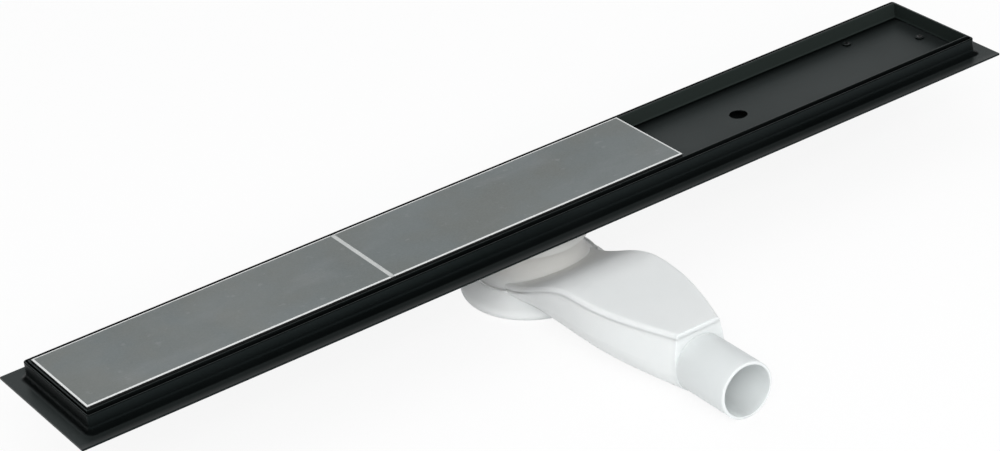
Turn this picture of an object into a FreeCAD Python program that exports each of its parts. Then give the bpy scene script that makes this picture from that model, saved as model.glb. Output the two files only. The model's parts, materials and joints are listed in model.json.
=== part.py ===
"""Linear shower channel: flanged channel, tile tray on levelling screws, and a swivelling low trap.

Millimetres, +Z up. The origin is the middle of the channel on the top face of the flange. X runs
along the channel and the trap's outlet pipe leaves along -Y.
"""
import FreeCAD, Part
import math
import os

V = FreeCAD.Vector
UP = V(0, 0, 1)

# ---- channel frame: flange, upright collar and inner ledge, one folded and welded sheet ----
channel_length = 725.0
channel_width = 90.0
channel_sheet = 1.5
collar_height = 12.5
collar_corner_radius = 2.5
collar_edge_radius = 0.6
flange_reach = 12.5
flange_bend_radius = 4.5

# ---- trough below the ledge ----
ledge_end_reach = 5.0
ledge_side_reach = 7.5
trough_corner_radius = 8.0
trough_rim_reach = 4.0
trough_depth_middle = 10.5
trough_depth_ends = 8.0
trough_flat_half = 52.0

# ---- tile tray ----
tray_sheet = 1.0
tray_side_slot = 2.3
tray_end_gap = 0.5
tray_rise = 1.0
tray_floor_height = 2.0
tray_bend_radius = 2.0
tray_hem_edge_radius = 0.7
lift_hole_radius = 6.6
lift_hole_spacing = 362.0

# ---- levelling screws in press nuts ----
levelling_screw_radius = 2.0
levelling_screw_length = 11.5
levelling_foot_gap = 0.03
levelling_socket_width = 2.0
levelling_socket_depth = 1.4
nut_shank_radius = 2.7
nut_flange_radius = 3.3
nut_flange_height = 1.2
thread_clearance = 0.05
end_screw_inset = 6.5
side_screw_inset = 6.0
side_screw_end_inset = 50.5

# ---- tiles ----
tile_thickness = 10.0
tile_rise = 2.6
tile_side_gap = 0.9
tile_end_gap = 0.6
tile_left_length = 224.2
tile_right_length = 235.0
tile_joint_width = 3.0
tile_joint_drop = 0.3
tile_bevel_width = 1.3
tile_bevel_drop = 0.2
adhesive_inset = 2.2
adhesive_screw_clearance = 0.4

# ---- outlet of the trough ----
outlet_neck_radius = 22.0
outlet_neck_length = 15.0
outlet_flange_radius = 27.5

# ---- trap: lid and tub, moulded apart and welded along one seam ----
trap_wall = 2.5
neck_radius = 28.5
neck_bead_radius = 33.0
neck_bead_height = 3.0
neck_bead_drop = 2.5
bowl_rim_radius = 43.0
bowl_rim_height = -44.0
bowl_radius = 53.6
bowl_edge_radius = 4.6
trap_bottom = -61.0
shoulder_radius = 33.0
shoulder_waist_radius = 34.4
shoulder_waist_height = -33.0
shoulder_clearance = 0.6
pipe_radius = 20.0
pipe_wall = 1.9
pipe_bore_lead = 1.0
pipe_axis_height = -41.0
pipe_end = -235.0
pipe_edge_chamfer = 0.6
weir_position = -100.0
weir_thickness = 2.0
weir_top = -33.0
duct_start = 0.0
duct_end = -187.0
duct_station_count = 18
duct_rise_start = -8.0
duct_rise_end = -100.0
duct_taper_start = -100.0
duct_low_top = -40.5
duct_high_top = -14.0
duct_half_top = 37.0
duct_end_half_top = 17.5
duct_side_bulge = 1.3
duct_end_side_bulge = 2.5
duct_side_fullness = 0.75
duct_belly_height = -35.5
duct_belly_drop = 5.0
duct_near_bottom = -57.0
duct_far_bottom = -60.5
duct_fall_start = -50.0
duct_half_bottom = 5.0
duct_ridge_radius = 3.2
seam_drop = 3.5
seam_lip_reach = 0.9
seam_lip_height = 1.6
seam_run = 5.0

# ---- swivel ring, seals and inserts ----
ring_radius = 39.0
ring_depth = 7.5
ring_clearance = 0.4
gasket_clearance = 0.15
clamp_screw_radius = 1.5
clamp_screw_length = 8.0
clamp_head_radius = 2.9
clamp_head_height = 1.8
clamp_screw_x = 33.7
clamp_screw_y = 13.5
neck_seal_height = 6.0
neck_seal_clearance = 0.1
insert_wall = 1.5
insert_rim_clearance = 0.2
insert_tube_radius = 17.5
insert_bottom = -54.0
insert_groove_depth = 2.0
insert_groove_height = 2.8
insert_seal_drop = 7.0
strainer_radius = 25.0
strainer_sheet = 1.0
strainer_dish = 5.0
strainer_hole_radius = 1.8
strainer_inner_circle = 6.0
strainer_inner_count = 7
strainer_outer_circle = 11.5
strainer_outer_count = 13

# ---- sizes worked out from the values above ----
collar_inner_length = channel_length - 2 * channel_sheet
collar_inner_width = channel_width - 2 * channel_sheet
trough_length = collar_inner_length - 2 * ledge_end_reach
trough_width = collar_inner_width - 2 * ledge_side_reach
tray_length = collar_inner_length - 2 * tray_end_gap
tray_width = collar_inner_width - 2 * tray_side_slot
tray_top = collar_height + tray_rise
tray_hem = 2 * tray_sheet
tray_inner_length = tray_length - 2 * tray_sheet
tray_inner_width = tray_width - 2 * tray_hem
tile_top = collar_height + tile_rise
tile_bottom = tile_top - tile_thickness
tile_width = tray_inner_width - 2 * tile_side_gap
tile_start = -tray_inner_length / 2 + tile_end_gap
joint_start = tile_start + tile_left_length
right_tile_start = joint_start + tile_joint_width
tiles_end = right_tile_start + tile_right_length
trough_floor = -trough_depth_middle
trough_underside = trough_floor - channel_sheet
neck_bore = neck_radius - trap_wall
bead_top = trough_underside - neck_bead_drop
bead_bottom = bead_top - neck_bead_height
shoulder_height = trough_underside - ring_depth - shoulder_clearance
seam_height = bowl_rim_height - seam_lip_height / 2
duct_step = (duct_start - duct_end) / (duct_station_count - 1)
duct_places = [duct_start - k * duct_step for k in range(duct_station_count)]
end_screw_x = trough_length / 2 - end_screw_inset
side_screw_x = trough_length / 2 - side_screw_end_inset
side_screw_y = trough_width / 2 - side_screw_inset
levelling_places = [(sx * end_screw_x, 0.0) for sx in (-1, 1)]
levelling_places += [(sx * side_screw_x, sy * side_screw_y) for sx in (-1, 1) for sy in (-1, 1)]
clamp_places = [(sx * clamp_screw_x, sy * clamp_screw_y) for sx in (-1, 1) for sy in (-1, 1)]


def block(length, width, low, high, x_middle=0.0, y_middle=0.0):
    """Upright box centred on (x_middle, y_middle)."""
    corner = V(x_middle - length / 2, y_middle - width / 2, low)
    return Part.makeBox(length, width, high - low, corner)


def rounded_block(length, width, low, high, radius):
    """Upright box centred on the origin, with its four standing edges rounded."""
    body = block(length, width, low, high)
    standing = [e for e in body.Edges if abs(e.tangentAt(e.FirstParameter).z) > 0.99]
    return body.makeFillet(radius, standing)


def post(radius, low, high, x=0.0, y=0.0):
    """Upright cylinder."""
    return Part.makeCylinder(radius, high - low, V(x, y, low), UP)


def spin(points):
    """Solid of revolution about Z from (radius, height) points."""
    wire = Part.makePolygon([V(r, 0, z) for r, z in points] + [V(points[0][0], 0, points[0][1])])
    return Part.Face(wire).revolve(V(0, 0, 0), UP, 360)


def level_edges(shape, height, half_length, half_width):
    """Edges that lie at one height, on or inside a rectangle centred on the origin."""
    found = []
    for edge in shape.Edges:
        box = edge.BoundBox
        flat = abs(box.ZMin - height) < 1e-4 and abs(box.ZMax - height) < 1e-4
        within = box.XMax <= half_length + 1e-4 and box.YMax <= half_width + 1e-4
        if flat and within:
            found.append(edge)
    return found


def save(name, shape):
    shape.exportStep(os.path.join("parts", name + ".step"))


def make_channel_frame():
    flange_length = channel_length + 2 * flange_reach
    flange_width = channel_width + 2 * flange_reach
    plate = block(flange_length, flange_width, -channel_sheet, 0)
    collar = rounded_block(channel_length, channel_width, -channel_sheet, collar_height,
                           collar_corner_radius)
    frame = plate.fuse(collar).removeSplitter()
    frame = frame.makeFillet(flange_bend_radius,
                             level_edges(frame, 0, channel_length / 2, channel_width / 2))
    well = rounded_block(collar_inner_length, collar_inner_width, 0, collar_height,
                         collar_corner_radius - channel_sheet)
    frame = frame.cut(well)
    opening = rounded_block(trough_length, trough_width, -channel_sheet, 0, trough_corner_radius)
    frame = frame.cut(opening)
    rim = level_edges(frame, collar_height, channel_length / 2, channel_width / 2)
    return frame.makeFillet(collar_edge_radius, rim)


def trough_volume(grow, rise):
    """Inside of the trough grown sideways, with its floor dropped by the same amount."""
    half = trough_length / 2 + grow
    middle = trough_floor - grow
    ends = -trough_depth_ends - grow
    profile = [(-half, rise), (-half, ends), (-trough_flat_half, middle),
               (trough_flat_half, middle), (half, ends), (half, rise), (-half, rise)]
    wire = Part.makePolygon([V(x, -trough_width / 2 - grow, z) for x, z in profile])
    body = Part.Face(wire).extrude(V(0, trough_width + 2 * grow, 0))
    standing = [e for e in body.Edges if abs(e.tangentAt(e.FirstParameter).z) > 0.99]
    return body.makeFillet(trough_corner_radius + grow, standing)


def make_channel_trough():
    rim_length = trough_length + 2 * channel_sheet + 2 * trough_rim_reach
    rim_width = trough_width + 2 * channel_sheet + 2 * trough_rim_reach
    rim = rounded_block(rim_length, rim_width, -2 * channel_sheet, -channel_sheet,
                        trough_corner_radius + trough_rim_reach)
    pan = rim.fuse(trough_volume(channel_sheet, -2 * channel_sheet)).removeSplitter()
    pan = pan.cut(trough_volume(0, -channel_sheet))
    pan = pan.cut(post(outlet_neck_radius, trough_underside, trough_floor))
    for x, y in clamp_places:
        pan = pan.cut(post(clamp_screw_radius + thread_clearance, trough_underside, trough_floor, x, y))
    return pan


def make_outlet_neck():
    inner = outlet_neck_radius - channel_sheet
    low = trough_underside - outlet_neck_length
    return spin([(inner, low), (outlet_neck_radius, low),
                 (outlet_neck_radius, trough_underside - channel_sheet),
                 (outlet_flange_radius, trough_underside - channel_sheet),
                 (outlet_flange_radius, trough_underside), (inner, trough_underside)])


def make_tile_tray():
    under = tray_floor_height - tray_sheet
    outside = block(tray_length, tray_width, under, tray_top)
    lower = level_edges(outside, under, tray_length / 2, tray_width / 2)
    outside = outside.makeFillet(tray_bend_radius + tray_sheet, lower)
    inside = block(tray_inner_length, tray_inner_width, tray_floor_height, tray_top)
    lower = level_edges(inside, tray_floor_height, tray_inner_length / 2, tray_inner_width / 2)
    inside = inside.makeFillet(tray_bend_radius, lower)
    tray = outside.cut(inside)
    side_edges = [e for e in level_edges(tray, tray_top, tray_length / 2, tray_width / 2)
                  if e.Length > tray_inner_length - 1]
    tray = tray.makeFillet(tray_hem_edge_radius, side_edges)
    for sx in (-1, 1):
        tray = tray.cut(post(lift_hole_radius, under, tray_floor_height, sx * lift_hole_spacing / 2))
    for x, y in levelling_places:
        tray = tray.cut(post(nut_shank_radius, under, tray_floor_height, x, y))
    return tray


def make_levelling_nuts():
    nuts = []
    for x, y in levelling_places:
        shank = post(nut_shank_radius, tray_floor_height - tray_sheet, tray_floor_height, x, y)
        head = post(nut_flange_radius, tray_floor_height, tray_floor_height + nut_flange_height, x, y)
        bore = post(levelling_screw_radius + thread_clearance, 0,
                    tray_floor_height + nut_flange_height, x, y)
        nuts.append(shank.fuse(head).removeSplitter().cut(bore))
    return Part.makeCompound(nuts)


def hexagon(width, low, high, x, y):
    """Upright hexagonal prism, measured across its flats."""
    reach = width / math.sqrt(3)
    turns = [math.radians(60 * k) for k in range(7)]
    wire = Part.makePolygon([V(x + reach * math.cos(a), y + reach * math.sin(a), low) for a in turns])
    return Part.Face(wire).extrude(V(0, 0, high - low))


def trough_floor_at(x):
    """Height of the trough's sloping floor at one place along the channel."""
    run = (abs(x) - trough_flat_half) / (trough_length / 2 - trough_flat_half)
    return trough_floor + max(run, 0) * (-trough_depth_ends - trough_floor)


def make_levelling_screws():
    screws = []
    for x, y in levelling_places:
        foot = trough_floor_at(x) + levelling_foot_gap
        head = foot + levelling_screw_length
        screw = post(levelling_screw_radius, foot, head, x, y)
        socket = hexagon(levelling_socket_width, head - levelling_socket_depth, head, x, y)
        screws.append(screw.cut(socket))
    return Part.makeCompound(screws)


def make_tile(start, length, outer_end):
    """Tile with a shallow bevel along both sides and along its outer end (-1 or +1)."""
    tile = block(length, tile_width, tile_bottom, tile_top, start + length / 2)
    shallow = math.atan2(tile_bevel_drop, tile_bevel_width)
    wedge_length = length + 2 * tile_bevel_width
    wedge_width = tile_width + 2 * tile_bevel_width
    middle = V(start + length / 2, 0, tile_top)
    for turn, reach, run in ((0, tile_width / 2, wedge_length), (180, tile_width / 2, wedge_length),
                             (90 if outer_end < 0 else -90, length / 2, wedge_width)):
        cutter = Part.makeBox(run, 4 * tile_bevel_width, tile_thickness, V(-run / 2, 0, 0))
        cutter.rotate(V(0, 0, 0), V(1, 0, 0), -math.degrees(shallow))
        cutter.translate(V(0, reach - tile_bevel_width, 0))
        cutter.rotate(V(0, 0, 0), UP, turn)
        cutter.translate(middle)
        tile = tile.cut(cutter)
    return tile


def make_tile_joint():
    return block(tile_joint_width, tile_width, tile_bottom, tile_top - tile_joint_drop,
                 joint_start + tile_joint_width / 2)


def make_tile_adhesive():
    length = tiles_end - tile_start
    bed = block(length - 2 * adhesive_inset, tile_width - 2 * adhesive_inset, tray_floor_height,
                tile_bottom, tile_start + length / 2)
    clear = [post(nut_flange_radius + adhesive_screw_clearance, 0, tile_bottom, x, y)
             for x, y in levelling_places if x < 0]
    return bed.cut(Part.makeCompound(clear))


def duct_station(y):
    """One section's half width and height at the top and at the belly, and the height of its bottom."""
    climb = min(max((duct_rise_start - y) / (duct_rise_start - duct_rise_end), 0), 1)
    taper = max((duct_taper_start - y) / (duct_taper_start - duct_end), 0)
    fall = max((duct_fall_start - y) / (duct_fall_start - duct_end), 0)
    top = duct_low_top + (duct_high_top - duct_low_top) * (1 - math.cos(math.pi * climb)) / 2
    narrowing = 1 - math.cos(math.pi * taper / 2)
    half_top = duct_half_top - (duct_half_top - duct_end_half_top) * narrowing
    half_belly = half_top + duct_side_bulge + (duct_end_side_bulge - duct_side_bulge) * narrowing
    belly = min(duct_belly_height + (pipe_axis_height - duct_belly_height) * taper ** 2,
                top - duct_belly_drop)
    bottom = duct_near_bottom + (duct_far_bottom - duct_near_bottom) * math.sin(math.pi * fall / 2)
    return half_top, top, half_belly, belly, bottom


def duct_wire(y, inset):
    """Closed section of the duct: flat top, near-upright sides and a round underside."""
    half_top, top, half_belly, belly, bottom = duct_station(y)
    a = half_top - inset
    b = half_belly - inset
    c = duct_half_bottom
    high = top - inset
    low = bottom + inset
    r = duct_ridge_radius - inset
    slant = math.sin(math.radians(45))
    shoulder = V(a - r + r * slant, y, high - r + r * slant)
    side = V(a + duct_side_fullness * (b - a), y, (high - r + belly) / 2)
    haunch = V(c + (b - c) * slant, y, belly + (low - belly) * slant)
    right = [V(a - r, y, high), shoulder, V(a, y, high - r), side, V(b, y, belly), haunch, V(c, y, low)]
    left = [V(-p.x, y, p.z) for p in reversed(right)]
    edges = [Part.Arc(*right[k:k + 3]).toShape() for k in (0, 2, 4)]
    edges.append(Part.LineSegment(right[-1], left[0]).toShape())
    edges += [Part.Arc(*left[k:k + 3]).toShape() for k in (0, 2, 4)]
    edges.append(Part.LineSegment(left[-1], right[0]).toShape())
    return Part.Wire(edges)


def duct_volume(inset):
    return Part.makeLoft([duct_wire(y, inset) for y in duct_places], True, False)


def head_volume(inset):
    """Bowl, flared shoulder and neck of the trap, or the space inside them."""
    def at(radius, height):
        return V(radius - inset, 0, height)

    low = trap_bottom + inset
    bend = bowl_edge_radius - inset
    bend_middle = V(bowl_radius - bowl_edge_radius, 0, trap_bottom + bowl_edge_radius)
    slant = bend * math.sin(math.radians(45))
    axis_low = V(0, 0, low)
    axis_high = V(0, 0, bead_top)
    foot = bend_middle - V(0, 0, bend)
    widest = bend_middle + V(bend, 0, 0)
    side = bend_middle + V(slant, 0, slant)
    rim = at(bowl_rim_radius, bowl_rim_height)
    waist = at(shoulder_waist_radius, shoulder_waist_height - inset / 2)
    shoulder = at(shoulder_radius, shoulder_height - inset)
    neck_foot = at(neck_radius, shoulder_height - inset)
    neck_head = at(neck_radius, bead_top)
    edges = [
        Part.LineSegment(axis_low, foot).toShape(),
        Part.Arc(foot, widest, side).toShape(),
        Part.LineSegment(side, rim).toShape(),
        Part.Arc(rim, waist, shoulder).toShape(),
        Part.LineSegment(shoulder, neck_foot).toShape(),
        Part.LineSegment(neck_foot, neck_head).toShape(),
        Part.LineSegment(neck_head, axis_high).toShape(),
        Part.LineSegment(axis_high, axis_low).toShape(),
    ]
    return Part.Face(Part.Wire(edges)).revolve(V(0, 0, 0), UP, 360)


def lid_space():
    """All the space above the seam: level round the bowl, then a constant drop below the duct's top."""
    reach = 2 * bowl_radius
    end = duct_end - trap_wall
    places = [y for y in duct_places if duct_station(y)[1] - seam_drop > seam_height]
    seam = [V(-reach, y, duct_station(y)[1] - seam_drop) for y in places]
    curve = Part.BSplineCurve()
    curve.interpolate(seam)
    level_end = V(-reach, places[0] + seam_run, seam_height)
    corners = [V(-reach, end, seam[-1].z), V(-reach, end, 0), V(-reach, reach, 0),
               V(-reach, reach, seam_height), level_end]
    edges = [curve.toShape(), Part.LineSegment(seam[-1], corners[0]).toShape()]
    edges += [Part.LineSegment(p, q).toShape() for p, q in zip(corners, corners[1:])]
    edges.append(Part.LineSegment(level_end, seam[0]).toShape())
    return Part.Face(Part.Wire(edges)).extrude(V(2 * reach, 0, 0))


def make_trap():
    """Lid and tub of the trap, as two solids that meet along the seam."""
    pipe_root = duct_end
    outside = head_volume(0).fuse(duct_volume(0))
    bead = post(neck_bead_radius, bead_bottom, bead_top)
    lip = post(bowl_rim_radius + seam_lip_reach, seam_height, seam_height + seam_lip_height)
    pipe = Part.makeCylinder(pipe_radius, pipe_root - pipe_end, V(0, pipe_root, pipe_axis_height),
                             V(0, -1, 0))
    mouth = [e for e in pipe.Edges if e.BoundBox.YMax < pipe_end + 1e-4]
    pipe = pipe.makeChamfer(pipe_edge_chamfer, mouth)
    outside = outside.fuse([bead, lip, pipe])
    inner_duct = duct_volume(trap_wall)
    inner_end = inner_duct.common(block(4 * bowl_radius, -pipe_root - trap_wall, trap_bottom, 0, 0,
                                        (pipe_root + trap_wall) / 2))
    inside = head_volume(trap_wall).fuse(inner_end)
    bore_start = pipe_root + trap_wall + pipe_bore_lead
    bore = Part.makeCylinder(pipe_radius - pipe_wall, bore_start - pipe_end,
                             V(0, bore_start, pipe_axis_height), V(0, -1, 0))
    shell = outside.cut(inside).cut(bore)
    above = lid_space()
    lid = shell.common(above)
    weir_block = block(4 * bowl_radius, weir_thickness, trap_bottom, weir_top, 0, weir_position)
    weir = inner_duct.common(weir_block)
    tub = shell.cut(above).fuse(weir)
    return lid, tub


def make_swivel_ring():
    lip_top = bead_bottom - ring_clearance
    inner = neck_radius + ring_clearance
    wide = neck_bead_radius + ring_clearance
    low = trough_underside - ring_depth
    ring = spin([(inner, low), (ring_radius, low), (ring_radius, trough_underside),
                 (wide, trough_underside), (wide, lip_top), (inner, lip_top)])
    for x, y in clamp_places:
        tip = trough_floor - clamp_screw_length
        ring = ring.cut(post(clamp_screw_radius + thread_clearance, tip, trough_underside, x, y))
    return ring


def make_swivel_gasket():
    low = bead_top + gasket_clearance
    return spin([(outlet_flange_radius, low), (neck_bead_radius, low),
                 (neck_bead_radius, trough_underside), (outlet_flange_radius, trough_underside)])


def make_clamp_screws():
    screws = []
    for x, y in clamp_places:
        shank = post(clamp_screw_radius, trough_floor - clamp_screw_length, trough_floor, x, y)
        head = post(clamp_head_radius, trough_floor, trough_floor + clamp_head_height, x, y)
        crown = [e for e in head.Edges if e.BoundBox.ZMin > trough_floor + clamp_head_height - 1e-4]
        head = head.makeFillet(clamp_head_height / 2, crown)
        screws.append(shank.fuse(head).removeSplitter())
    return Part.makeCompound(screws)


def make_neck_seal():
    high = bead_bottom
    low = high - neck_seal_height
    inner = outlet_neck_radius + neck_seal_clearance
    waist = (inner + neck_bore) / 2
    return spin([(inner, low), (neck_bore, low), (neck_bore, high), (waist, high),
                 (waist, low + neck_seal_height / 2), (inner, low + neck_seal_height / 2)])


def make_odour_insert():
    rim = outlet_neck_radius - insert_rim_clearance
    bore = outlet_neck_radius - channel_sheet
    hub = bore - insert_rim_clearance
    tube = insert_tube_radius
    groove = hub - insert_groove_depth
    groove_top = trough_underside - insert_seal_drop + insert_groove_height / 2
    groove_low = groove_top - insert_groove_height
    taper_low = groove_low - insert_wall - (hub - tube)
    return spin([
        (tube - insert_wall, insert_bottom), (tube, insert_bottom), (tube, taper_low),
        (hub, groove_low - insert_wall), (hub, groove_low), (groove, groove_low),
        (groove, groove_top), (hub, groove_top), (hub, trough_underside),
        (rim, trough_underside), (rim, trough_floor), (tube - insert_wall, trough_floor),
    ])


def make_insert_seal():
    outer = outlet_neck_radius - channel_sheet
    inner = outer - insert_rim_clearance - insert_groove_depth
    return Part.makeTorus((outer + inner) / 2, (outer - inner) / 2, V(0, 0, trough_underside - insert_seal_drop), UP)


def make_hair_strainer():
    cup = insert_tube_radius - insert_wall - insert_rim_clearance
    low = trough_floor - strainer_dish
    high = trough_floor + strainer_sheet
    dish = spin([
        (0, low), (cup, low), (cup, trough_floor), (strainer_radius, trough_floor),
        (strainer_radius, high), (cup - strainer_sheet, high),
        (cup - strainer_sheet, low + strainer_sheet), (0, low + strainer_sheet),
    ])
    holes = [post(strainer_hole_radius, low, low + strainer_sheet)]
    for circle, count in ((strainer_inner_circle, strainer_inner_count),
                          (strainer_outer_circle, strainer_outer_count)):
        for k in range(count):
            turn = 2 * math.pi * k / count
            holes.append(post(strainer_hole_radius, low, low + strainer_sheet,
                              circle * math.cos(turn), circle * math.sin(turn)))
    return dish.cut(Part.makeCompound(holes))


def main():
    os.makedirs("parts", exist_ok=True)
    trap_lid, trap_tub = make_trap()
    pieces = {
        "channel_frame": make_channel_frame(),
        "channel_trough": make_channel_trough(),
        "outlet_neck": make_outlet_neck(),
        "tile_tray": make_tile_tray(),
        "levelling_nuts": make_levelling_nuts(),
        "levelling_screws": make_levelling_screws(),
        "tile_left": make_tile(tile_start, tile_left_length, -1),
        "tile_right": make_tile(right_tile_start, tile_right_length, 1),
        "tile_joint": make_tile_joint(),
        "tile_adhesive": make_tile_adhesive(),
        "trap_lid": trap_lid,
        "trap_tub": trap_tub,
        "swivel_ring": make_swivel_ring(),
        "swivel_gasket": make_swivel_gasket(),
        "clamp_screws": make_clamp_screws(),
        "neck_seal": make_neck_seal(),
        "odour_insert": make_odour_insert(),
        "insert_seal": make_insert_seal(),
        "hair_strainer": make_hair_strainer(),
    }
    for name, shape in pieces.items():
        save(name, shape)
        box = shape.BoundBox
        print(name, len(shape.Solids), shape.isValid(), round(shape.Volume),
              [round(v, 2) for v in (box.XMin, box.XMax, box.YMin, box.YMax, box.ZMin, box.ZMax)])


main()
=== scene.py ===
import json
import math

import bpy
from mathutils import Matrix, Vector


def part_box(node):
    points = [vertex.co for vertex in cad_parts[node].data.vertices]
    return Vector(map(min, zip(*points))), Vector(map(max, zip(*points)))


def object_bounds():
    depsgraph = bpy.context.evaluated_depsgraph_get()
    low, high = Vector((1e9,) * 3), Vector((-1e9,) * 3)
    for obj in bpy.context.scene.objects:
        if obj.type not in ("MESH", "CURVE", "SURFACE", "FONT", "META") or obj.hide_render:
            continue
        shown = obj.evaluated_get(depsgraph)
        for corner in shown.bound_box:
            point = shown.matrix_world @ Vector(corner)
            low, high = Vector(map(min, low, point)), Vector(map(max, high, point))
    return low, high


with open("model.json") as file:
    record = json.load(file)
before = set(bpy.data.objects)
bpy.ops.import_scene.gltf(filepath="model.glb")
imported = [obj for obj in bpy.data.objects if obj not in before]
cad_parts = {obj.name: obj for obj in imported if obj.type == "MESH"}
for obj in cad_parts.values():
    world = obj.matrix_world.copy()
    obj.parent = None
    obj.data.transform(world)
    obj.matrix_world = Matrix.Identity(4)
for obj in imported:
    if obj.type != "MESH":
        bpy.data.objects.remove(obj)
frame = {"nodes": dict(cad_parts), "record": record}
rest_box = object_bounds()
nodes = frame["nodes"]

# ---- places on the object, in metres ----
TRAY_HEM = 0.002
TRAY_SHEET = 0.001
FLOOR_Z = rest_box[0][2]
TILE_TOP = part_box("tile_left")[1][2]
FLANGE_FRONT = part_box("channel_frame")[0][1]
TRAY_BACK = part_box("tile_tray")[1][1] - TRAY_HEM
TRAY_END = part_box("tile_tray")[1][0] - TRAY_SHEET

# ---- where finishes, painted light and painted shade change on the object: lengths in metres, FOLD_SHARE a share ----
TILE_PALE_EDGE = 0.0005
FLANGE_EDGE_START = -0.0525
FOLD_START = TRAY_BACK - 0.009
FOLD_END = TRAY_BACK - 0.002
FOLD_LIMIT = TRAY_BACK + 0.0052
FOLD_SHARE = 0.9
BAND_NEAR = 0.0004
BAND_FAR = 0.0008
NECK_NEAR = 0.030
NECK_FAR = 0.062
NECK_LOW = -0.046
NECK_HIGH = -0.036
PIPE_NEAR = 0.184
PIPE_FAR = 0.190

# ---- tones, as linear RGB; a pair is the two ends of a mottle ----
COATING_SIDE = (0.0020, 0.0026, 0.0026), (0.0034, 0.0042, 0.0042)
# painted sheen: the coating's tone on faces that look up, paler than on sides
COATING_TOP_PAINTED_SHEEN = (0.0160, 0.0192, 0.0188), (0.0190, 0.0226, 0.0222)
# painted reflection: the paler tone along the flange's front edge
COATING_FLANGE_EDGE_PAINTED_REFLECTION = (0.048, 0.049, 0.049)
# painted shade: the near-black tone where the tray's floor folds up at the back
COATING_FOLD_PAINTED_SHADE = (0.0012, 0.0016, 0.0015)
# painted light: the paler tone of the tray's inner back wall
COATING_BACK_WALL_PAINTED_LIGHT = (0.0234, 0.0300, 0.0275)
# painted light: the paler tone of the tray's inner right end wall
COATING_END_WALL_PAINTED_LIGHT = (0.0180, 0.0235, 0.0215)
SCREW_STEEL = (0.16, 0.16, 0.165), (0.26, 0.26, 0.265)
TILE_DARK = (0.152, 0.164, 0.156), (0.144, 0.165, 0.166)
TILE_PALE = (0.182, 0.194, 0.186), (0.175, 0.195, 0.196)
TILE_DRIFT = (0.225, 0.238, 0.242)
TILE_FLECK = (0.27, 0.28, 0.28)
TILE_SPECK = (0.25, 0.27, 0.27)
TILE_EDGE = (0.64, 0.655, 0.65), (0.80, 0.81, 0.80)
# painted shade: the near-black tone of the tile's sides below the pale edge
TILE_SIDE_PAINTED_SHADE = (0.008, 0.009, 0.009), (0.015, 0.016, 0.016)
MORTAR_TOP = (0.46, 0.475, 0.475), (0.57, 0.585, 0.575)
MORTAR_SAND = (0.64, 0.64, 0.63)
# painted shade: the near-black tone of the mortar's sides
MORTAR_SIDE_PAINTED_SHADE = (0.02, 0.021, 0.021)
TRAP_BODY = (0.82, 0.855, 0.85), (0.86, 0.885, 0.88)
# painted shade: the greyer tone of the pipe
TRAP_PIPE_PAINTED_SHADE = (0.70, 0.735, 0.735)
# painted shade: the darker, warmer tone of the neck, standing in for the channel's shadow
TRAP_NECK_PAINTED_SHADE = (0.60, 0.59, 0.565)
INSERT_BLACK = (0.012, 0.012, 0.013), (0.022, 0.022, 0.024)
RUBBER_BLACK = (0.008, 0.008, 0.008), (0.018, 0.018, 0.018)
BLACK = (0.0, 0.0, 0.0)
WHITE = (1.0, 1.0, 1.0)

# ---- how much of a noise shows: from its low to its high value, and the share it reaches ----
NOISE_SPREAD = 0.3, 0.7
RUBBED_SPREAD = 0.35, 0.7
RUBBED_GLOSS_SPREAD = 0.3, 0.75
TILE_SPREAD = 0.38, 0.62
DRIFT_FADE = 0.55, 0.78, 0.5
FLECK_FADE = 0.66, 0.74, 0.35
SPECK_FADE = 0.35, 0.75, 0.3
SAND_FADE = 0.4, 0.8, 0.5

# ---- upward part of the normal, from a side's to a top's, where painted sheen and painted shade switch on ----
COATING_UPWARD = 0.97, 1.0
TILE_UPWARD = 0.992, 0.998
MORTAR_UPWARD = 0.3, 0.6

# ---- roughness at the two ends of a noise ----
COATING_ROUGHNESS = 0.36, 0.44
SCREW_ROUGHNESS = 0.34, 0.46
TILE_ROUGHNESS = 0.5, 0.62
TRAP_ROUGHNESS = 0.50, 0.60

# ---- where the camera stands: angles in degrees, lengths in metres, lens in millimetres ----
CAMERA_AZIMUTH = -31.0
CAMERA_ELEVATION = 28.88
CAMERA_ROLL = -6.82
CAMERA_DISTANCE = 2.089
CAMERA_TARGET = Vector((-0.0303, -0.0088, 0.0))
CAMERA_SENSOR = 36.0
CAMERA_LENS = 111.54

# ---- studio: lengths in metres, power in watts ----
FLOOR_SIZE = 24.0
FLOOR_TONE = 0.93
FLOOR_LIFT = 0.87
BACKDROP_DISTANCE = 9.6
BACKDROP_HEIGHT = 18.0
BACKDROP_SIDES = (-0.9, 12.0)
BACKDROP_TONE = 0.93
BACKDROP_LIFT = 0.95
PAPER_FIBRE_SHARE = 0.995
KEY_PLACE = (-1.1, -2.79, 1.96)
KEY_AIM = (0, 0, 0)
KEY_WIDTH = 3.0
KEY_HEIGHT = 2.0
KEY_POWER = 92
ROOM_LIGHT = (0.665, 0.67, 0.676)
ROOM_REFLECTED = (0.02, 0.02, 0.02)

# ---- sockets of a Mix node that mixes colours ----
MIX_FACTOR = 0
MIX_FIRST = 6
MIX_SECOND = 7
MIX_RESULT = 2


# ---------------------------------------------------------------- node helpers
def mix_colours(tree, factor, first, second):
    """Colour from first to second, each a colour or another node's output."""
    node = tree.nodes.new("ShaderNodeMix")
    node.data_type = "RGBA"
    tree.links.new(factor, node.inputs[MIX_FACTOR])
    for number, value in ((MIX_FIRST, first), (MIX_SECOND, second)):
        if isinstance(value, tuple):
            node.inputs[number].default_value = (*value, 1.0)
        else:
            tree.links.new(value, node.inputs[number])
    return node.outputs[MIX_RESULT]


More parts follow.
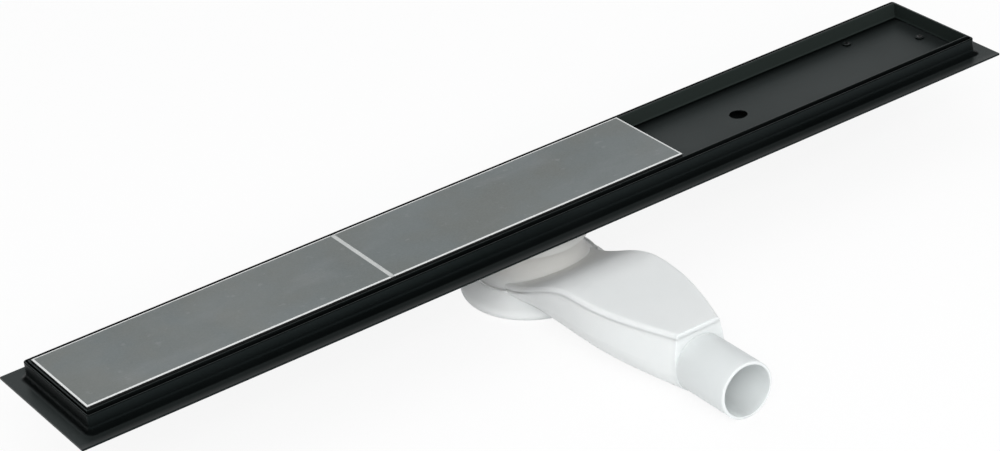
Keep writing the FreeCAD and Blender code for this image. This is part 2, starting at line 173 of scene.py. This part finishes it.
class Shader:
    """A material with a Principled shader, and short ways to add nodes to it."""

    def __init__(self, name):
        self.material = bpy.data.materials.new(name)
        self.material.use_nodes = True
        self.tree = self.material.node_tree
        self.principled = self.tree.nodes["Principled BSDF"]
        self.place = self.tree.nodes.new("ShaderNodeTexCoord").outputs["Object"]

    def set(self, **values):
        for name, value in values.items():
            self.principled.inputs[name.replace("_", " ")].default_value = value

    def link(self, output, name):
        self.tree.links.new(output, self.principled.inputs[name])

    def stretched(self, scale):
        """Object coordinates scaled by a different amount along each axis."""
        mapping = self.tree.nodes.new("ShaderNodeMapping")
        mapping.inputs["Scale"].default_value = scale
        self.tree.links.new(self.place, mapping.inputs["Vector"])
        return mapping.outputs["Vector"]

    def noise(self, scale, detail=3.0, roughness=0.5, vector=None):
        node = self.tree.nodes.new("ShaderNodeTexNoise")
        node.inputs["Scale"].default_value = scale
        node.inputs["Detail"].default_value = detail
        node.inputs["Roughness"].default_value = roughness
        self.tree.links.new(vector or self.place, node.inputs["Vector"])
        return node.outputs["Fac"]

    def remap(self, value, low, high, to_low, to_high):
        """Value taken from low..high to to_low..to_high, and held at both ends."""
        node = self.tree.nodes.new("ShaderNodeMapRange")
        self.tree.links.new(value, node.inputs["Value"])
        node.inputs["From Min"].default_value = low
        node.inputs["From Max"].default_value = high
        node.inputs["To Min"].default_value = to_low
        node.inputs["To Max"].default_value = to_high
        return node.outputs["Result"]

    def fade(self, value, low, high, share=1.0):
        """0 at low, rising to share at high."""
        return self.remap(value, low, high, 0, share)

    def mix(self, factor, first, second):
        return mix_colours(self.tree, factor, first, second)

    def mottle(self, value, spread, tones):
        """A pair of tones, mixed as a value goes from one end of a spread to the other."""
        return self.mix(self.fade(value, *spread), *tones)

    def math(self, operation, first, second):
        node = self.tree.nodes.new("ShaderNodeMath")
        node.operation = operation
        self.tree.links.new(first, node.inputs[0])
        self.tree.links.new(second, node.inputs[1])
        return node.outputs[0]

    def both(self, first, second):
        """Two masks at once: 1 only where both are 1."""
        return self.math("MULTIPLY", first, second)

    def bump(self, height, distance, strength, below=None):
        node = self.tree.nodes.new("ShaderNodeBump")
        node.inputs["Strength"].default_value = strength
        node.inputs["Distance"].default_value = distance
        self.tree.links.new(height, node.inputs["Height"])
        if below is not None:
            self.tree.links.new(below, node.inputs["Normal"])
        return node.outputs["Normal"]

    def along(self, axis):
        """Place along one of the object's axes."""
        split = self.tree.nodes.new("ShaderNodeSeparateXYZ")
        self.tree.links.new(self.place, split.inputs["Vector"])
        return split.outputs[axis]

    def within(self, axis, low, high):
        """1 between two places on an axis, and 0 from a little beyond them."""
        place = self.along(axis)
        rise = self.fade(place, low - BAND_FAR, low - BAND_NEAR)
        return self.both(rise, self.remap(place, high + BAND_NEAR, high + BAND_FAR, 1, 0))

    def from_axis(self):
        """Distance from the object's upright axis."""
        node = self.tree.nodes.new("ShaderNodeVectorMath")
        node.operation = "LENGTH"
        self.tree.links.new(self.stretched((1, 1, 0)), node.inputs[0])
        return node.outputs["Value"]

    def facing_up(self, low, high):
        """1 on faces that look up, 0 on sides; low and high bound the upward part of the normal."""
        geometry = self.tree.nodes.new("ShaderNodeNewGeometry")
        split = self.tree.nodes.new("ShaderNodeSeparateXYZ")
        self.tree.links.new(geometry.outputs["True Normal"], split.inputs["Vector"])
        return self.fade(split.outputs["Z"], low, high)


# ---------------------------------------------------------------- materials
def coated_steel():
    """Satin black coating with a fine orange-peel grain and faint rubbed patches.

    It is paler on faces that look up (painted sheen), along the flange's front edge (painted
    reflection) and on the tray's inner back and right walls (painted light), and nearly black where
    the tray's floor folds up at the back (painted shade).
    """
    s = Shader("coated_steel")
    rubbed = s.noise(9.0, detail=5.0, roughness=0.6)
    grain = s.noise(1500.0, detail=2.0)
    peel = s.noise(420.0, detail=2.0)
    side = s.mottle(rubbed, RUBBED_SPREAD, COATING_SIDE)
    top = s.mottle(rubbed, RUBBED_SPREAD, COATING_TOP_PAINTED_SHEEN)
    looks_up = s.facing_up(*COATING_UPWARD)
    # painted sheen: faces that look up take the paler top tone
    tone = s.mix(looks_up, side, top)
    # painted reflection: the upper face of the flange grows paler towards its front edge
    painted_flange_reflection = s.both(s.fade(s.along("Y"), FLANGE_EDGE_START, FLANGE_FRONT), looks_up)
    tone = s.mix(painted_flange_reflection, tone, COATING_FLANGE_EDGE_PAINTED_REFLECTION)
    between_ends = s.within("X", -TRAY_END, TRAY_END)
    # painted shade: the tray's floor darkens to nearly black where it folds up at the back
    painted_fold_shade = s.fade(s.along("Y"), FOLD_START, FOLD_END, FOLD_SHARE)
    painted_fold_shade = s.both(painted_fold_shade, s.within("Y", 0, FOLD_LIMIT))
    tone = s.mix(s.both(painted_fold_shade, between_ends), tone, COATING_FOLD_PAINTED_SHADE)
    # painted light: the tray's inner back wall is made paler
    painted_back_wall_light = s.both(s.within("Y", TRAY_BACK, TRAY_BACK), between_ends)
    tone = s.mix(painted_back_wall_light, tone, COATING_BACK_WALL_PAINTED_LIGHT)
    # painted light: the tray's inner right end wall is made paler
    painted_end_wall_light = s.both(s.within("X", TRAY_END, TRAY_END), s.within("Y", -TRAY_BACK, TRAY_BACK))
    tone = s.mix(painted_end_wall_light, tone, COATING_END_WALL_PAINTED_LIGHT)
    s.link(tone, "Base Color")
    s.link(s.remap(rubbed, *RUBBED_GLOSS_SPREAD, *COATING_ROUGHNESS), "Roughness")
    orange_peel = s.bump(peel, distance=0.00002, strength=0.35)
    s.link(s.bump(grain, distance=0.00001, strength=0.5, below=orange_peel), "Normal")
    s.set(Specular_IOR_Level=0.22, Specular_Tint=(0.7, 0.95, 0.97, 1.0))
    return s.material


def bare_steel():
    """Blackened steel of the screws and strainer, with fine turning marks."""
    s = Shader("bare_steel")
    turned = s.noise(900.0, roughness=0.6, vector=s.stretched((1, 1, 12)))
    s.link(s.mix(turned, *SCREW_STEEL), "Base Color")
    s.link(s.remap(turned, *NOISE_SPREAD, *SCREW_ROUGHNESS), "Roughness")
    s.link(s.bump(turned, distance=0.00001, strength=0.4), "Normal")
    s.set(Metallic=1.0)
    return s.material


def stoneware():
    """Matt grey tile: a fine mottled face, a pale bevelled edge, and sides below it painted nearly
    black as shade.
    """
    s = Shader("stoneware")
    cloud = s.noise(11.0, detail=5.0, roughness=0.55)
    tint = s.noise(23.0)
    drift = s.noise(34.0, detail=4.0, roughness=0.6, vector=s.stretched((0.45, 1.0, 1.0)))
    fleck = s.noise(150.0, detail=2.0)
    speck = s.noise(900.0, roughness=0.7)
    dark = s.mottle(tint, TILE_SPREAD, TILE_DARK)
    pale = s.mottle(tint, TILE_SPREAD, TILE_PALE)
    face = s.mottle(cloud, TILE_SPREAD, (dark, pale))
    face = s.mix(s.fade(drift, *DRIFT_FADE), face, TILE_DRIFT)
    face = s.mix(s.fade(fleck, *FLECK_FADE), face, TILE_FLECK)
    face = s.mix(s.fade(speck, *SPECK_FADE), face, TILE_SPECK)
    edge = s.mottle(speck, NOISE_SPREAD, TILE_EDGE)
    # painted shade: the tile's sides below the pale edge are nearly black
    side = s.mottle(speck, NOISE_SPREAD, TILE_SIDE_PAINTED_SHADE)
    near_top = s.fade(s.along("Z"), TILE_TOP - TILE_PALE_EDGE, TILE_TOP - TILE_PALE_EDGE / 2)
    body = s.mix(near_top, side, edge)
    s.link(s.mix(s.facing_up(*TILE_UPWARD), body, face), "Base Color")
    s.link(s.remap(cloud, *NOISE_SPREAD, *TILE_ROUGHNESS), "Roughness")
    s.link(s.bump(speck, distance=0.00004, strength=0.4), "Normal")
    s.set(Specular_IOR_Level=0.35)
    return s.material


def mortar():
    """Sandy pale grey cement, with its sides painted nearly black as shade."""
    s = Shader("mortar")
    sand = s.noise(1300.0, detail=4.0, roughness=0.7)
    cloud = s.noise(60.0)
    tone = s.mottle(cloud, NOISE_SPREAD, MORTAR_TOP)
    tone = s.mix(s.fade(sand, *SAND_FADE), tone, MORTAR_SAND)
    # painted shade: sides of the mortar take the near-black tone
    s.link(s.mix(s.facing_up(*MORTAR_UPWARD), MORTAR_SIDE_PAINTED_SHADE, tone), "Base Color")
    s.link(s.bump(sand, distance=0.0002, strength=0.6), "Normal")
    s.set(Roughness=0.85, Specular_IOR_Level=0.2)
    return s.material


def milky_plastic():
    """Milky white moulded plastic that lets some light through, with a faint moulded grain.

    It is a little greyer on the pipe and darker and warmer round the neck, both as painted shade.
    """
    s = Shader("milky_plastic")
    cloud = s.noise(11.0, detail=4.0, roughness=0.55)
    grain = s.noise(700.0, detail=2.0)
    away = s.from_axis()
    tone = s.mottle(cloud, NOISE_SPREAD, TRAP_BODY)
    # painted shade: the pipe, far from the upright axis, is greyer
    tone = s.mix(s.fade(away, PIPE_NEAR, PIPE_FAR), tone, TRAP_PIPE_PAINTED_SHADE)
    # painted shadow: the neck under the channel is darker and warmer
    painted_neck_shade = s.both(s.remap(away, NECK_NEAR, NECK_FAR, 1, 0), s.fade(s.along("Z"), NECK_LOW, NECK_HIGH))
    s.link(s.mix(painted_neck_shade, tone, TRAP_NECK_PAINTED_SHADE), "Base Color")
    s.link(s.remap(cloud, *NOISE_SPREAD, *TRAP_ROUGHNESS), "Roughness")
    s.link(s.bump(grain, distance=0.00003, strength=0.3), "Normal")
    s.set(Subsurface_Weight=0.6, Subsurface_Scale=0.008, Subsurface_Radius=WHITE)
    return s.material


def dark_plastic():
    """Black moulded plastic of the insert."""
    s = Shader("dark_plastic")
    grain = s.noise(800.0)
    s.link(s.mix(grain, *INSERT_BLACK), "Base Color")
    s.link(s.bump(grain, distance=0.00003, strength=0.4), "Normal")
    s.set(Roughness=0.45)
    return s.material


def seal_rubber():
    """Matt black rubber of the seals and gasket."""
    s = Shader("seal_rubber")
    grain = s.noise(600.0)
    s.link(s.mix(grain, *RUBBER_BLACK), "Base Color")
    s.link(s.bump(grain, distance=0.00004, strength=0.5), "Normal")
    s.set(Roughness=0.7, Specular_IOR_Level=0.3)
    return s.material


FINISHES = {
    "coated_steel": coated_steel(),
    "bare_steel": bare_steel(),
    "tile": stoneware(),
    "mortar": mortar(),
    "trap_plastic": milky_plastic(),
    "insert_plastic": dark_plastic(),
    "seal_rubber": seal_rubber(),
}


def dress_frame():
    """Give every CAD node the finish of its material slot."""
    for part in frame["record"]["subparts"]:
        node = nodes[part["node"]]
        node.data.materials.clear()
        node.data.materials.append(FINISHES[part["material_slot"]])


# ---------------------------------------------------------------- studio
def sheet_mesh(name, corners, material):
    """A flat sheet with four corners that belongs to the studio, not to the part."""
    mesh = bpy.data.meshes.new(name)
    mesh.from_pydata(corners, [], [(0, 1, 2, 3)])
    mesh.materials.append(material)
    item = bpy.data.objects.new(name, mesh)
    bpy.context.scene.collection.objects.link(item)


def paper(name, tone, lift):
    """Matt white paper that lights the object as paper does, but shows only part of its shadows.

    Camera, glossy and transmission rays see the lit paper with a share of plain white, the lift.
    """
    s = Shader(name)
    light_path = s.tree.nodes.new("ShaderNodeLightPath")
    seen = light_path.outputs["Is Camera Ray"]
    for ray in ("Is Glossy Ray", "Is Transmission Ray"):
        seen = s.math("MAXIMUM", seen, light_path.outputs[ray])
    lit = s.mix(s.noise(3.0, detail=4.0), (tone * PAPER_FIBRE_SHARE,) * 3, (tone,) * 3)
    s.link(s.mix(s.fade(seen, 0, 1, lift), lit, BLACK), "Base Color")
    s.link(s.fade(seen, 0, 1, lift), "Emission Strength")
    s.set(Roughness=0.9, Specular_IOR_Level=0.0, Emission_Color=(*WHITE, 1.0))
    return s.material


def build_studio():
    """A pale floor under the object, and an upright backdrop far behind it."""
    half = FLOOR_SIZE / 2
    floor = [(x, y, FLOOR_Z) for x, y in ((-half, -half), (half, -half), (half, half), (-half, half))]
    sheet_mesh("studio_floor", floor, paper("floor_paper", FLOOR_TONE, FLOOR_LIFT))
    left, right = BACKDROP_SIDES
    top = FLOOR_Z + BACKDROP_HEIGHT
    backdrop = [(x, BACKDROP_DISTANCE, z)
                for x, z in ((left, FLOOR_Z), (right, FLOOR_Z), (right, top), (left, top))]
    sheet_mesh("studio_backdrop", backdrop, paper("backdrop_paper", BACKDROP_TONE, BACKDROP_LIFT))


def area_light(name, place, aim, width, height, power):
    data = bpy.data.lights.new(name, "AREA")
    data.shape = "RECTANGLE"
    data.size = width
    data.size_y = height
    data.energy = power
    lamp = bpy.data.objects.new(name, data)
    lamp.location = place
    lamp.rotation_euler = (Vector(aim) - Vector(place)).to_track_quat("-Z", "Y").to_euler()
    bpy.context.scene.collection.objects.link(lamp)
    return lamp


def light_studio():
    """A large soft lamp in front, hidden from reflections, and an even room.

    The room is white to the camera and nearly black to glossy rays.
    """
    key = area_light("front_softbox", KEY_PLACE, KEY_AIM, KEY_WIDTH, KEY_HEIGHT, KEY_POWER)
    key.visible_glossy = False
    world = bpy.data.worlds.new("studio_world")
    bpy.context.scene.world = world
    world.use_nodes = True
    tree = world.node_tree
    background = tree.nodes["Background"]
    light_path = tree.nodes.new("ShaderNodeLightPath")
    room = mix_colours(tree, light_path.outputs["Is Glossy Ray"], ROOM_LIGHT, ROOM_REFLECTED)
    shown = mix_colours(tree, light_path.outputs["Is Camera Ray"], room, WHITE)
    tree.links.new(shown, background.inputs["Color"])
    background.inputs["Strength"].default_value = 1.0


def place_camera():
    """The photograph's viewing angle and roll."""
    azimuth = math.radians(CAMERA_AZIMUTH)
    elevation = math.radians(CAMERA_ELEVATION)
    roll = math.radians(CAMERA_ROLL)
    level = math.cos(elevation)
    back = Vector((math.sin(azimuth) * level, -math.cos(azimuth) * level, math.sin(elevation)))
    right = Vector((math.cos(azimuth), math.sin(azimuth), 0))
    up = back.cross(right)
    rolled_right = math.cos(roll) * right + math.sin(roll) * up
    rolled_up = math.cos(roll) * up - math.sin(roll) * right
    camera = bpy.data.objects.new("camera", bpy.data.cameras.new("camera"))
    camera.data.sensor_width = CAMERA_SENSOR
    camera.data.lens = CAMERA_LENS
    turn = Matrix((rolled_right, rolled_up, back)).transposed().to_4x4()
    camera.matrix_world = Matrix.Translation(CAMERA_TARGET + back * CAMERA_DISTANCE) @ turn
    bpy.context.scene.collection.objects.link(camera)
    bpy.context.scene.camera = camera


dress_frame()
build_studio()
light_studio()
place_camera()
bpy.context.scene.view_settings.view_transform = "Standard"
